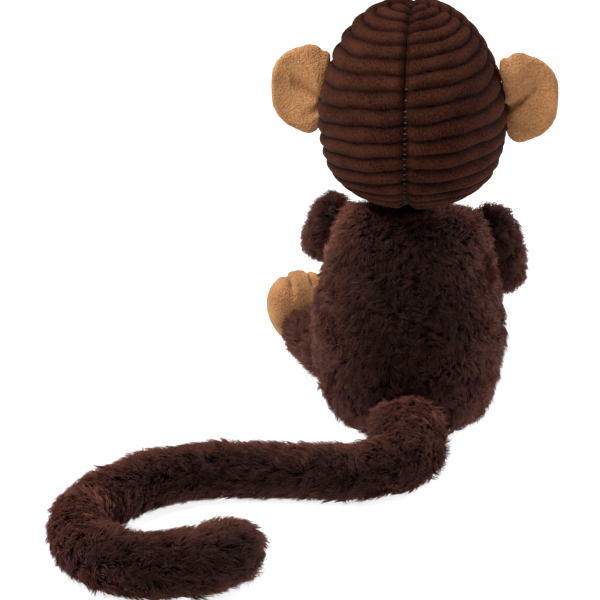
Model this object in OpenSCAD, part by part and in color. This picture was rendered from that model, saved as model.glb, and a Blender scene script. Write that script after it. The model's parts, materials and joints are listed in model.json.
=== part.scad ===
// Seated stuffed monkey with a long tail: every sewn panel is a shell, every filling is a solid.
// The monkey faces -Y and sits on the floor plane, with the middle of its seat at the origin.

/* [Body] */
// Width of the body at its widest
body_w = 117; // [94:1:141]
// Height of the body from the floor to the neck opening
body_h = 135; // [112:1:162]
// Depth from the body's upright axis to its back
body_back = 61; // [51:1:73]
// Depth from the body's upright axis to its belly
body_front = 46; // [38:1:56]
// Thickness of the pile fabric of body, limbs and tail
pile_t = 4; // [3:0.5:5]
// Radius of the flat round panel that it sits on
seat_r = 44; // [37:1:46]
// Radius of the neck opening
neck_r = 21; // [17:1:25]

/* [Head] */
// Width of the head
head_w = 112; // [93:1:135]
// Depth of the head, front to back
head_d = 114; // [95:1:137]
// Height that the head's full egg shape has
head_h = 131; // [109:1:158]
// Height of the slot in which the neck flexes
neck_gap = 6.5; // [6:0.5:9]
// Thickness of the corduroy and of the short pile fabric
cloth_t = 2.5; // [2:0.5:3]
// Angle of the head's side seams behind the ears
side_seam = 2; // [0:1:8]
// Half width of the face, as an angle round the head
face_half = 47; // [39:1:54]

/* [Face] */
// Distance between the eyes
eye_pitch = 42; // [35:1:50]
// Height of the eyes above the middle of the head
eye_rise = 9; // [6:1:12]
// Radius of an eye's dome
eye_r = 6.5; // [5:0.5:8]
// Radius of an eye's stem
stem_r = 1.6; // [1.3:0.1:2]
// Radius of the washer that locks an eye
washer_r = 7; // [5.5:0.5:8.5]
// Half width of the muzzle
muzzle_w = 27; // [22:1:31]
// Half height of the muzzle
muzzle_h = 18; // [15:1:21]
// How far the muzzle stands out from the face
muzzle_out = 17; // [14:1:21]
// Drop of the muzzle's middle below the middle of the head
muzzle_drop = 18; // [15:1:21]

/* [Ears] */
// How far an ear stands out from the head
ear_out = 31; // [26:1:36]
// Half the height of an ear
ear_half = 30.5; // [26:0.5:35]
// Height of the ears' middle above the middle of the head
ear_rise = 8; // [2:1:11]
// Thickness of one layer of an ear
ear_t = 4; // [3:0.5:5]

/* [Arms] */
// Radius of an arm
arm_r = 12.5; // [10.5:0.5:14]
// Height of the surface point at which an arm is sewn on
shoulder_z = 115; // [97:1:120]
// Radius of a hand
hand_r = 13.5; // [11.5:0.5:15]

/* [Legs] */
// Radius of a leg
leg_r = 15.5; // [13:0.5:18]
// Length of a leg from its hip to its foot
leg_len = 39; // [33:1:47]
// How far the left and the right leg turn outwards
leg_turn = [30, 0]; // [0:1:34]
// Where on the body's outline the left and the right leg are sewn on
hip_at = [36, 64]; // [32:1:68]
// Height of a foot
foot_h = 54; // [45:1:65]
// Width of a foot
foot_w = 44; // [37:1:50]
// Thickness of a foot from instep to sole
foot_t = 22; // [18:1:26]

/* [Tail] */
// Radius of the tail
tail_r = 14.5; // [12:0.5:16]
// Radius of the tail at its tip
tail_tip_r = 17; // [14.5:0.5:19]

/* [Hidden] */
// Slack between pieces that lie face to face in one body
gap = 0.3;
// Slack between a limb's round root and the body
root_gap = 1;
// How much a limb's flat-sided root lies inside its round outline
facet_slack = 0.1;
// Slack between a filling and the flat-sided cloth round it
fill_slack = 1;
// Sides of a limb's tube and steps round the body's and the head's panels
tube_sides = 14;
limb_sides = 12;
panel_steps = 9;
$fn = 48;

fur = "#3a1f18";
cord = "#4a2a20";
tan_pile = "#c9965f";
filling = "#efece4";
thread = "#2a1510";

// The body's outline as parts of its height and of how far it bulges, from the seat's edge to its widest
LOW_OUTLINE = [[0, 0], [0.03, 0.28], [0.09, 0.55], [0.19, 0.8], [0.34, 0.97], [0.46, 1]];
// The same from above its widest up to the neck opening
HIGH_OUTLINE = [[0.6, 0.92], [0.72, 0.78], [0.83, 0.62], [0.915, 0.41], [0.97, 0.17], [1, 0]];
BODY_OUTLINE = concat(
    [for (p = LOW_OUTLINE) [body_h * p[0], seat_r + (body_w / 2 - seat_r) * p[1]]],
    [for (p = HIGH_OUTLINE) [body_h * p[0], neck_r + (body_w / 2 - neck_r) * p[1]]]
);
// The arms' middle lines from the shoulders, with the left arm held higher. The first number of each
// point is counted from the body's outline, so that the arms lie outside it whatever its width is.
ARM_LEFT = [[0, 0, 0], [0.27, -7, -18], [-2.85, -25, -30], [-10.67, -46, -33], [-20.41, -60, -32]];
ARM_RIGHT = [[0, 0, 0], [-0.83, -5, -21], [-5.35, -16, -41], [-12.42, -38, -48], [-23.15, -55, -46]];
// The tail's middle line on the floor from its root, which is its first point
TAIL = [
    [0, 0], [-2, 20], [6, 36], [24, 47], [47, 51], [86, 53], [118, 58], [148, 74],
    [170, 100], [179, 132], [166, 161], [137, 173], [109, 168], [89, 154]
];
// Height of the tail's root above the tail's rest on the floor
tail_lift = 4;
// The tail's root is sewn on a little to the right of the back's middle
tail_at = 97;

// ---- Shared geometry ----

function unit(v) = v / norm(v);
function mix(a, b, t) = a + (b - a) * t;
function flat(rows) = [for (row = rows) each row];

// A point on the smooth curve through the points p, with t running from 0 to len(p) - 1
function along(p, t) =
    let (n = len(p) - 1,
         i = min(floor(t), n - 1),
         s = t - i,
         a = i > 0 ? p[i - 1] : 2 * p[0] - p[1],
         b = p[i],
         c = p[i + 1],
         d = i < n - 1 ? p[i + 2] : 2 * p[n] - p[n - 1])
    0.5 * (2 * b + (c - a) * s + (2 * a - 5 * b + 4 * c - d) * s * s
        + (3 * b - a - 3 * c + d) * s * s * s);

// The two triangles of a grid cell, without the ones that a collapsed row makes empty
function cell(a, b, c, d) = [
    for (t = [[a, b, c], [a, c, d]]) if (t[0] != t[1] && t[1] != t[2] && t[0] != t[2]) t
];

// Triangles of a grid of points; rows named in tips are single points
function grid(rows, cols, first, loop, tips, turn) = flat([
    for (i = [0:rows - 2]) for (j = [0:(loop ? cols - 1 : cols - 2)])
        let (k = (j + 1) % cols,
             low = [for (c = [j, k]) first + i * cols + (len(search(i, tips)) > 0 ? 0 : c)],
             high = [for (c = [j, k]) first + (i + 1) * cols + (len(search(i + 1, tips)) > 0 ? 0 : c)])
        turn ? cell(low[0], high[0], high[1], low[1]) : cell(low[0], low[1], high[1], high[0])
]);

// Triangles of the strip between two lists of point numbers
function strip(a, b, turn) = flat([
    for (i = [0:len(a) - 2])
        turn ? cell(a[i], b[i], b[i + 1], a[i + 1]) : cell(a[i], a[i + 1], b[i + 1], b[i])
]);

// A closed shell between two grids of points. loop closes it round, and tip closes it at its last row.
module shell(outer, inner, loop = false, tip = false) {
    rows = len(outer);
    cols = len(outer[0]);
    shift = rows * cols;
    tips = tip ? [rows - 1] : [];
    cut_cols = concat([for (j = [0:cols - 1]) j], loop ? [0] : []);
    first_row = cut_cols;
    last_row = [for (j = cut_cols) (rows - 1) * cols + j];
    left_side = [for (i = [0:rows - 1]) i * cols];
    right_side = [for (i = [0:rows - 1]) i * cols + (tip && i == rows - 1 ? 0 : cols - 1)];
    add = function(list) [for (i = list) i + shift];
    polyhedron(
        flat([flat(outer), flat(inner)]),
        flat([
            grid(rows, cols, 0, loop, tips, true),
            grid(rows, cols, shift, loop, tips, false),
            strip(first_row, add(first_row), false),
            tip ? [] : strip(last_row, add(last_row), true),
            loop ? [] : strip(left_side, add(left_side), true),
            loop ? [] : strip(right_side, add(right_side), false)
        ]),
        convexity = 6
    );
}

// A closed solid through rings of points, whose first and last rings are single points
module solid(rings) {
    polyhedron(
        flat(rings),
        grid(len(rings), len(rings[0]), 0, true, [0, len(rings) - 1], true),
        convexity = 6
    );
}

// A ring of n points round a place c, in the plane across the direction t
function ring(c, t, r, n) =
    let (side = unit(cross([0, 0, 1], t)), up = cross(t, side))
    [for (j = [0:n - 1]) c + r * (cos(360 * j / n - 90) * side + sin(360 * j / n - 90) * up)];

// Rings of a round end: from its tip to its rim behind the place c, or from its rim ahead of it for out = 1
function round_end(c, t, r, n, out) = [
    for (k = [0:3])
        let (a = out > 0 ? k * 30 : 90 - k * 30)
        ring(c + out * t * r * sin(a), t, max(r * cos(a), 0), n)
];

// Places and directions along a smooth line through the points p, with steps places on each stretch
function line_places(p, steps) =
    let (n = (len(p) - 1) * steps, e = 0.01)
    [for (i = [0:n])
        let (t = i / steps, a = max(t - e, 0), b = min(t + e, len(p) - 1))
        [along(p, t), unit(along(p, b) - along(p, a))]];

// ---- Body ----

// The body's outline at t from 0 at the seat to 1 at the neck: [radius, height]
function outline(t) = let (p = along(BODY_OUTLINE, t * (len(BODY_OUTLINE) - 1))) [p[1], p[0]];

function outline_normal(t) =
    let (e = 0.004, d = outline(min(t + e, 1)) - outline(max(t - e, 0)))
    unit([d[1], -d[0]]);

function outline_in(t, off) = outline(t) - off * outline_normal(t);

// A point of the body's surface at the angle a, from a radius and height on the outline
function body_at(a, p) = [
    p[0] * cos(a),
    p[0] * sin(a) * (sin(a) > 0 ? body_back : body_front) / (body_w / 2),
    p[1]
];

// The outline's parameter at the height z
function at_height(z, low = 0, high = 1, n = 24) =
    n == 0 ? (low + high) / 2
    : let (m = (low + high) / 2)
      outline(m)[1] < z ? at_height(z, m, high, n - 1) : at_height(z, low, m, n - 1);

// A place off the body's surface by off, at the angle a and the height z
function off_body(a, z, off) =
    let (t = at_height(z),
         e = 0.5,
         here = body_at(a, outline(t)),
         across = body_at(a + e, outline(t)) - body_at(a - e, outline(t)),
         rise = body_at(a, outline(min(t + 0.01, 1))) - body_at(a, outline(max(t - 0.01, 0))))
    here + off * unit(cross(across, rise));

// Where the round root of a limb that lies level is sewn on: its ball of radius r at the height z clears
// the body's bulge above and below it, and its surface point stands off by off
function level_root(a, z, r, off) =
    let (t = at_height(z),
         e = 0.5,
         here = body_at(a, outline(t)),
         across = body_at(a + e, outline(t)) - body_at(a - e, outline(t)),
         out = unit(cross(across, [0, 0, 1])),
         spread = out * body_at(a, [1, 0]),
         bulge = max([for (k = [-5:5])
             (outline(at_height(max(z + r * k / 5, 0.6)))[0] - outline(t)[0]) * spread
                 + r * sqrt(1 - k * k / 25)]),
         stand = (off_body(a, z, off) - here) * out)
    [here[0], here[1], 0] + out * max(stand, bulge - facet_slack);

body_rows = 15;
function body_t(i) = mix(at_height(0.6), 1, i / (body_rows - 1));

module body_panel(from, to, steps) {
    color(fur)
        shell(
            [for (i = [0:body_rows - 1]) [for (j = [0:steps])
                body_at(mix(from, to, j / steps), outline_in(body_t(i), 0))]],
            [for (i = [0:body_rows - 1]) [for (j = [0:steps])
                let (p = outline_in(body_t(i), pile_t))
                body_at(mix(from, to, j / steps), [p[0], max(p[1], seat_t + gap)])]]
        );
}

belly_seam = -14;
module back_left() { body_panel(belly_seam, 90, panel_steps); }
module back_right() { body_panel(90, 180 - belly_seam, panel_steps); }
module belly_panel() { body_panel(180 - belly_seam, 360 + belly_seam, panel_steps); }

// The flat round panel under the body, inside the lower edge of the three fur panels
seat_t = 1.8;
seat_sides = 36;
seat_inset = 1.2;
module seat_panel() {
    edge = [
        for (j = [0:seat_sides - 1])
            let (p = body_at(360 * j / seat_sides, [seat_r - seat_inset, 0]))
            [p[0], p[1]]
    ];
    color(fur) linear_extrude(seat_t) polygon(edge);
}

// The hand-sewn ladder stitches that close the back after it is filled
stitch_r = 0.6;
stitch_count = 15;
stitch_sway = 1.4;
closing_low = body_h * 0.5;
closing_high = body_h * 0.76;
module closing_stitches() {
    places = line_places([
        for (i = [0:stitch_count])
            let (a = 90 + (i % 2 == 0 ? -stitch_sway : stitch_sway),
                 z = mix(closing_low, closing_high, i / stitch_count))
            off_body(a, z, 2 * stitch_r)
    ], 2);
    color(thread) thread_line(places, stitch_r);
}

module thread_line(places, r, n = 6) {
    last = len(places) - 1;
    solid(concat(
        [[for (j = [1:n]) places[0][0] - r * places[0][1]]],
        [for (p = places) ring(p[0], p[1], r, n)],
        [[for (j = [1:n]) places[last][0] + r * places[last][1]]]
    ));
}

// A closed form inside the body: off is its slack to the outer surface, between two heights
module body_fill(off, low, high, n = 20) {
    rows = 12;
    top = at_height(high);
    bottom = at_height(low);
    solid(concat(
        [[for (j = [0:n - 1]) [0, 0, outline_in(bottom, off)[1]]]],
        [for (i = [0:rows - 1]) [for (j = [0:n - 1])
            let (p = outline_in(mix(bottom, top, i / (rows - 1)), off)) body_at(360 * j / n, p)]],
        [[for (j = [0:n - 1]) [0, 0, outline_in(top, off)[1]]]]
    ));
}

pouch_low = 6;
pouch_high = 38;
fill_high = body_h * 0.93;
module body_stuffing() {
    color(filling) body_fill(pile_t + fill_slack, pouch_high + fill_slack, fill_high);
}

// The pouch of plastic beans that weighs the seat down, as a part of the body's width
pouch_share = 0.8;
pouch_t = 1.2;
function pouch_rings(off, n = 24) = [
    for (k = [0:8])
        let (a = -90 + 180 * k / 8,
             r = (body_w / 2 * pouch_share - off) * sqrt(max(cos(a), 0)),
             z = (pouch_low + pouch_high) / 2 + ((pouch_high - pouch_low) / 2 - off) * sin(a))
        [for (j = [0:n - 1]) body_at(360 * j / n, [r, z])]
];

module bean_pouch() {
    color(tan_pile) difference() {
        solid(pouch_rings(0));
        solid(pouch_rings(pouch_t));
    }
}

module bean_filling() { color(filling) solid(pouch_rings(pouch_t + gap)); }

// ---- Neck ----

neck_mid = body_h + neck_gap / 2;
head_low = body_h + neck_gap;
// The opening is as deep as the flatter of the body's two sides makes it
opening_depth = (neck_r - pile_t) * min(body_front, body_back) / (body_w / 2);
plug_r = min(neck_r - 2 * pile_t, opening_depth - gap);
plug_low = fill_high + fill_slack;
plug_high = head_low + 1.5;
module neck_plug() {
    color(filling) translate([0, 0, plug_low]) cylinder(h = plug_high - plug_low, r = plug_r);
}

neck_thread_r = 1;
module neck_thread() {
    color(thread) translate([0, 0, neck_mid])
        rotate_extrude() translate([neck_r - pile_t, 0]) circle(r = neck_thread_r, $fn = 16);
}

// ---- Head ----

// The egg's lowest row is where its narrower side has the neck's radius
low_angle = -acos((neck_r - 1) / (min(head_w, head_d) / 2));
head_mid = head_low - head_h / 2 * sin(low_angle);

// A point of the head, at an angle round it and an angle up it, moved inwards by off
function head_at(a, up, off) = [
    (head_w / 2 - off) * cos(up) * cos(a),
    (head_d / 2 - off) * cos(up) * sin(a),
    head_mid + (head_h / 2 - off) * sin(up)
];

// How far the face reaches to each side at the angle up, with its round top at face_top
face_top = 50;
face_low = -62;
function face_reach(up) =
    up >= face_top ? 0
    : let (t = (up - (face_top + face_low) / 2) / ((face_top - face_low) / 2))
      face_half * sqrt(max(1 - t * t * abs(t), 0)) * (up < -30 ? mix(1, 0.72, (-30 - up) / 32) : 1);

head_rows = 15;
function head_up(i) = mix(low_angle, 90, i / (head_rows - 1));

module head_back(from, to) {
    color(cord)
        shell(
            [for (i = [0:head_rows - 1]) [for (j = [0:panel_steps])
                head_at(mix(from, to, j / panel_steps), head_up(i), 0)]],
            [for (i = [0:head_rows - 1]) [for (j = [0:panel_steps])
                head_at(mix(from, to, j / panel_steps), head_up(i), cloth_t)]],
            tip = true
        );
}

module head_back_left() { head_back(side_seam, 90); }
module head_back_right() { head_back(90, 180 - side_seam); }

// Rows of the face and of the side panels, with one row at the face's round top
face_rows = concat([for (i = [0:9]) mix(low_angle, face_top - 4, i / 9)], [face_top]);
side_rows = concat(face_rows, [for (i = [1:4]) mix(face_top, 90, i / 4)]);
side_steps = 6;

// A side panel runs from its seam behind the ear to the face, or to the forehead's middle above it
function side_angle(up, j) = mix(-90 + face_reach(up), side_seam, j / side_steps);
function side_grid(off) = [for (up = side_rows) [for (j = [0:side_steps]) head_at(side_angle(up, j), up, off)]];

module head_side_left() {
    color(cord) shell(side_grid(0), side_grid(cloth_t), tip = true);
}
module head_side_right() { mirror([1, 0, 0]) head_side_left(); }

function face_grid(off) = [
    for (up = face_rows) [for (j = [0:8]) head_at(-90 + mix(-1, 1, j / 8) * face_reach(up), up, off)]
];

eye_side = asin(eye_pitch / 2 / (head_w / 2 * cos(asin(eye_rise / (head_h / 2)))));
eye_up = asin(eye_rise / (head_h / 2));
function eye_place(side) = head_at(-90 + side * eye_side, eye_up, 0);
function eye_dir(side) =
    let (p = eye_place(side) - [0, 0, head_mid])
    unit([p[0] / pow(head_w, 2), p[1] / pow(head_d, 2), p[2] / pow(head_h, 2)]);

// Puts its children at an eye, with +Z pointing out of the face
module at_eye(side) {
    d = eye_dir(side);
    translate(eye_place(side))
        rotate([0, acos(d[2]), atan2(d[1], d[0])])
            children();
}

stem_len = 11;
stem_slack = 0.25;
pocket_deep = 14;

module face_panel() {
    color(tan_pile) difference() {
        shell(face_grid(0), face_grid(cloth_t), tip = true);
        for (side = [-1, 1]) at_eye(side)
            translate([0, 0, -pocket_deep / 2]) cylinder(h = pocket_deep, r = stem_r + stem_slack);
    }
}

fill_up_low = -acos((neck_r + pile_t) / (head_w / 2 - cloth_t - fill_slack));
module head_stuffing() {
    off = cloth_t + fill_slack;
    rows = 13;
    n = 24;
    bottom = head_at(0, fill_up_low, off)[2];
    color(filling) difference() {
        solid(concat(
            [[for (j = [0:n - 1]) [0, 0, bottom]]],
            [for (i = [0:rows - 1]) [for (j = [0:n - 1])
                head_at(360 * j / n, mix(fill_up_low, 75, i / (rows - 1)), off)]],
            [[for (j = [0:n - 1]) head_at(0, 90, off + 1)]]
        ));
        for (side = [-1, 1]) at_eye(side)
            translate([0, 0, -pocket_deep]) cylinder(h = pocket_deep + 4, r = washer_r + 1);
    }
}

// An eye: a glossy dome, flattened in front, on a stem that passes through the face and a lock washer
eye_seat = 0.1;
eye_flat = 0.75;
module eye(side) {
    color("#120d0b") at_eye(side) rotate_extrude() union() {
        intersection() {
            translate([0, eye_seat]) circle(r = eye_r);
            translate([0, eye_seat]) square([eye_r, eye_r * eye_flat]);
        }
        translate([0, -stem_len]) square([stem_r, stem_len + 5 * eye_seat]);
    }
}
module eye_left() { eye(1); }
module eye_right() { eye(-1); }

washer_t = 1.2;
module eye_washer(side) {
    color("#e8e6e0") at_eye(side)
        translate([0, 0, -cloth_t - 1 - washer_t])
            difference() {
                cylinder(h = washer_t, r = washer_r);
                translate([0, 0, -1]) cylinder(h = washer_t + 2, r = stem_r + 0.1);
            }
}
module eye_washer_left() { eye_washer(1); }
module eye_washer_right() { eye_washer(-1); }

// The muzzle's surface over the face, at a radius part q and an angle a, shrunk by off
muzzle_mid = head_mid - muzzle_drop;
function face_y(x, z) =
    -head_d / 2 * sqrt(max(1 - pow(x / (head_w / 2), 2) - pow((z - head_mid) / (head_h / 2), 2), 0));
function muzzle_at(q, a, off, lift) =
    let (x = (muzzle_w - off) * q * cos(a), z = muzzle_mid + (muzzle_h - off) * q * sin(a))
    [x, face_y(x, z) - lift - (muzzle_out - off) * pow(max(1 - q * q, 0), 0.6), z];

function muzzle_rings(off, lift) = [
    for (k = [0:6]) let (q = cos(15 * k)) [for (j = [0:19]) muzzle_at(k == 6 ? 0 : q, 18 * j, off, lift)]
];
module muzzle() {
    color(tan_pile) shell(muzzle_rings(0, gap), muzzle_rings(cloth_t, gap), loop = true, tip = true);
}

module muzzle_stuffing() {
    off = cloth_t + gap;
    base = [for (j = [0:19]) muzzle_at(0, 0, muzzle_out, gap)];
    color(filling) solid(concat(
        [base],
        [for (k = [0:5]) [for (j = [0:19])
            let (q = k == 0 ? 0.5 : k == 1 ? 0.97 : cos(15 * k),
                 p = muzzle_at(q, 18 * j, off, gap))
            k < 2 ? [p[0], face_y(p[0], p[2]) - gap - (k == 1 ? 0.1 : 0), p[2]] : p]],
        [[for (j = [0:19]) muzzle_at(0, 0, off, gap)]]
    ));
}

// A point on the muzzle's front at x and at a height above its middle, standing out by lift
function muzzle_front(x, rise, lift) =
    let (q2 = pow(x / muzzle_w, 2) + pow(rise / muzzle_h, 2))
    [x, face_y(x, muzzle_mid + rise) - gap - lift - muzzle_out * pow(max(1 - q2, 0), 0.6), muzzle_mid + rise];

nose_w = 7;
nose_h = 4;
nose_rise = 9;
nose_t = 1.2;
function nose_rings(t, lift) = [
    for (k = [0:3]) let (q = k == 3 ? 0 : 1 - k / 3.5)
        [for (j = [0:15])
            muzzle_front(nose_w * q * cos(22.5 * j), nose_rise + nose_h * q * sin(22.5 * j),
                lift + t * (1 - q * q * 0.7))]
];
module nose_stitching() {
    color(thread) shell(nose_rings(nose_t, 0.4), nose_rings(0, 0.3), loop = true, tip = true);
}

mouth_w = 13;
module mouth_stitching() {
    places = line_places([
        for (i = [-4:4]) muzzle_front(mouth_w * i / 4, -9 + 3.5 * pow(i / 4, 2), 1.6)
    ], 1);
    color(thread) thread_line(places, 0.8);
}

// ---- Ears ----

ear_mid = head_mid + ear_rise;
ear_y = -5;
ear_rows = 11;
ear_cols = 7;
// An ear is this much lower where it is sewn to the head
ear_neck = 0.86;
// Slack that the ear's seam needs to fold in
ear_gap = 1.6;
// An ear's inner edge follows the head, and its outer edge is round
function ear_base(z) = head_w / 2 * sqrt(1 - pow((z - head_mid) / (head_h / 2), 2)) + ear_gap;
function ear_point(i, j, t) =
    let (v = mix(-0.97, 0.97, i / (ear_rows - 1)),
         u = j / (ear_cols - 1),
         z = ear_mid + ear_half * v * mix(ear_neck, 1, min(2 * u, 1)),
         base = ear_base(z),
         edge = mix(base, head_w / 2 + ear_out, pow(1 - pow(abs(v), 2.5), 0.5)))
    [mix(base, max(edge, base + 3), u), ear_y + t * (0.3 + 0.7 * sqrt(max(1 - u * u, 0)) * (1 - v * v)), z];
module ear_layer(t, mid) {
    color(tan_pile)
        shell(
            [for (i = [0:ear_rows - 1]) [for (j = [0:ear_cols - 1]) ear_point(i, t > 0 ? ear_cols - 1 - j : j, t)]],
            [for (i = [0:ear_rows - 1]) [for (j = [0:ear_cols - 1])
                let (p = ear_point(i, t > 0 ? ear_cols - 1 - j : j, t)) [p[0], mid, p[2]]]]
        );
}
module ear_left_back() { ear_layer(ear_t, ear_y + 0.1); }
module ear_left_front() { ear_layer(-ear_t, ear_y - 0.1); }
module ear_right_back() { mirror([1, 0, 0]) ear_left_back(); }
module ear_right_front() { mirror([1, 0, 0]) ear_left_front(); }

// ---- Arms ----

shoulder_a = -24;
shoulder = off_body(shoulder_a, shoulder_z, arm_r + root_gap);
arm_steps = 4;
// The wrist is this many places before the end of an arm's middle line
wrist_back = 3;

function body_radius(z) = outline(at_height(z))[0];
function beside_body(p) =
    shoulder + p + [body_radius(shoulder_z + p[2]) - body_radius(shoulder_z), 0, 0];
function arm_places(path) = line_places([for (p = path) beside_body(p)], arm_steps);
function arm_radius(i, n) = mix(arm_r, arm_r - 1, i / n);

module arm_skin(path) {
    places = arm_places(path);
    wrist = len(places) - 1 - wrist_back;
    rings = function(off) concat(
        [for (i = [wrist:-1:0]) ring(places[i][0], -places[i][1], arm_radius(i, wrist) - off, limb_sides)],
        [for (k = [1:3]) round_end(places[0][0], -places[0][1], arm_r - off, limb_sides, 1)[k]]
    );
    color(fur) shell(rings(0), rings(pile_t), loop = true, tip = true);
}

module arm_fill(path) {
    places = arm_places(path);
    last = len(places) - 1;
    off = pile_t + gap;
    start = round_end(places[0][0], places[0][1], arm_r - off, limb_sides, -1);
    color(filling) solid(concat(
        [for (k = [0:2]) start[k]],
        [for (i = [0:last]) ring(places[i][0], places[i][1], arm_radius(i, last) - off, limb_sides)],
        [[for (j = [1:limb_sides]) places[last][0] + 5 * places[last][1]]]
    ));
}

module hand(path) {
    places = arm_places(path);
    last = len(places) - 1;
    wrist = last - wrist_back;
    rings = function(off) concat(
        [for (i = [wrist:last])
            ring(places[i][0] + (i == wrist ? 0.2 : 0) * places[i][1], places[i][1],
                mix(arm_r - 1, hand_r, sin(90 * (i - wrist) / wrist_back)) - off, limb_sides)],
        [for (k = [1:3]) round_end(places[last][0], places[last][1], hand_r - off, limb_sides, 1)[k]]
    );
    color(tan_pile) shell(rings(0), rings(cloth_t), loop = true, tip = true);
}

module arm_left() { arm_skin(ARM_LEFT); }
module arm_left_stuffing() { arm_fill(ARM_LEFT); }
module hand_left() { hand(ARM_LEFT); }
module arm_right() { mirror([1, 0, 0]) arm_skin(ARM_RIGHT); }
module arm_right_stuffing() { mirror([1, 0, 0]) arm_fill(ARM_RIGHT); }
module hand_right() { mirror([1, 0, 0]) hand(ARM_RIGHT); }

// ---- Legs and feet ----

function hip(side) =
    level_root(-hip_at[side], leg_r, leg_r, leg_r + 1.6 * root_gap) + [0, 0, leg_r];
function leg_dir(side) = [sin(leg_turn[side]), -cos(leg_turn[side]), 0];
function leg_places(side) = [
    for (i = [0:5]) [hip(side) + leg_dir(side) * leg_len * i / 5, leg_dir(side)]
];

module leg_skin(side) {
    places = leg_places(side);
    rings = function(off) concat(
        [for (i = [5:-1:0]) ring(places[i][0], -places[i][1], leg_r - off, tube_sides)],
        [for (k = [1:3]) round_end(places[0][0], -places[0][1], leg_r - off, tube_sides, 1)[k]]
    );
    color(fur) shell(rings(0), rings(pile_t), loop = true, tip = true);
}

module leg_fill(side) {
    places = leg_places(side);
    off = pile_t + gap;
    start = round_end(places[0][0], places[0][1], leg_r - off, tube_sides, -1);
    end = places[5][0];
    color(filling) solid(concat(
        [for (k = [0:2]) start[k]],
        [for (i = [0:5]) ring(places[i][0], places[i][1], leg_r - off, tube_sides)],
        [[for (j = [1:tube_sides]) end]]
    ));
}

// A point of the foot: q runs from its middle out to its edge, a round it, and depth along the leg
foot_sides = 20;
function foot_at(side, q, a, depth, off) =
    let (d = leg_dir(side),
         across = [-d[1], d[0], 0],
         start = hip(side) + d * (leg_len + gap + foot_t / 2),
         rise = foot_h / 2 - off,
         w = (foot_w / 2 - off) * q * cos(a) * (1 + 0.22 * sin(a)),
         z = foot_h / 2 + rise * q * sin(a))
    [start[0], start[1], 0] + across * w + d * depth + [0, 0, z];

// Half of the foot's thickness at the radius part q
function foot_half(q, off) = (foot_t / 2 - off) * pow(max(1 - pow(q, 3), 0), 0.5);

function foot_rings(side, out, off) = [
    for (k = [0:5])
        let (q = [1, 0.95, 0.85, 0.65, 0.35, 0][k])
        [for (j = [0:foot_sides - 1])
            foot_at(side, q, out * 360 * j / foot_sides, out * (foot_half(q, off) + gap / 4), off)]
];

module foot_half_shell(side, out) {
    color(tan_pile)
        shell(foot_rings(side, out, 0), foot_rings(side, out, cloth_t), loop = true, tip = true);
}

module foot_fill(side) {
    off = cloth_t + gap;
    back = foot_rings(side, -1, off);
    front = foot_rings(side, 1, off);
    n = foot_sides;
    color(filling) solid(concat(
        [for (k = [5:-1:0]) [for (j = [0:n - 1]) back[k][(n - j) % n]]],
        [for (k = [1:5]) front[k]]
    ));
}

// The stitches that pinch the foot's upper edge into three toes
toe_turn = 26;
toe_thread_r = 0.7;
module toe_stitches(side) {
    stand = toe_thread_r + 0.5;
    for (x = [-1, 1]) {
        a = 90 - x * toe_turn;
        color("#a87b4d") thread_line(line_places([
            for (k = [-3:3])
                let (q = [1, 0.95, 0.85, 0.7][abs(k)], out = k < 0 ? -1 : 1)
                foot_at(side, q, a, out * (k == 0 ? 0 : foot_half(q, 0) + stand), 0)
                    + [0, 0, k == 0 ? stand + 0.6 : stand]
        ], 1), toe_thread_r);
    }
}

module leg_left() { leg_skin(0); }
module leg_left_stuffing() { leg_fill(0); }
module foot_left_upper() { foot_half_shell(0, -1); }
module foot_left_sole() { foot_half_shell(0, 1); }
module foot_left_stuffing() { foot_fill(0); }
module toe_stitches_left() { toe_stitches(0); }
module leg_right() { mirror([1, 0, 0]) leg_skin(1); }
module leg_right_stuffing() { mirror([1, 0, 0]) leg_fill(1); }
module foot_right_upper() { mirror([1, 0, 0]) foot_half_shell(1, -1); }
module foot_right_sole() { mirror([1, 0, 0]) foot_half_shell(1, 1); }
module foot_right_stuffing() { mirror([1, 0, 0]) foot_fill(1); }
module toe_stitches_right() { mirror([1, 0, 0]) toe_stitches(1); }

// ---- Tail ----

tail_steps = 5;
tail_last = (len(TAIL) - 1) * tail_steps;
tail_root = level_root(tail_at, tail_r + tail_lift, tail_r, tail_r + root_gap);
// The tail gets fatter over its second half
function tail_radius(i) = mix(tail_r, tail_tip_r, pow(max(2 * i / tail_last - 1, 0), 0.7));
function tail_height(i) = tail_radius(i) + tail_lift * pow(max(1 - i / (2 * tail_steps), 0), 2);
tail_line = line_places(TAIL, tail_steps);
tail_places = [
    for (i = [0:tail_last])
        let (p = tail_line[i])
        [[tail_root[0] + p[0][0], tail_root[1] + p[0][1], tail_height(i)], [p[1][0], p[1][1], 0]]
];

function tail_rings(off) =
    let (a = tail_places[0],
         b = tail_places[tail_last],
         start = round_end(a[0], a[1], tail_r - off, limb_sides, -1),
         end = round_end(b[0], b[1], tail_tip_r - off, limb_sides, 1))
    concat(
        [for (k = [0:2]) start[k]],
        [for (i = [0:tail_last]) ring(tail_places[i][0], tail_places[i][1], tail_radius(i) - off, limb_sides)],
        [for (k = [1:3]) end[k]]
    );

module tail() {
    // The root is open where the filling goes in, and the seam closes it
    outer = tail_rings(0);
    inner = tail_rings(pile_t);
    last = len(outer) - 1;
    color(fur) shell(
        [for (i = [1:last]) outer[i]],
        [for (i = [1:last]) inner[i]],
        loop = true, tip = true
    );
}

module tail_stuffing() { color(filling) solid(tail_rings(pile_t + gap)); }

// ---- Parts ----

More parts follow.
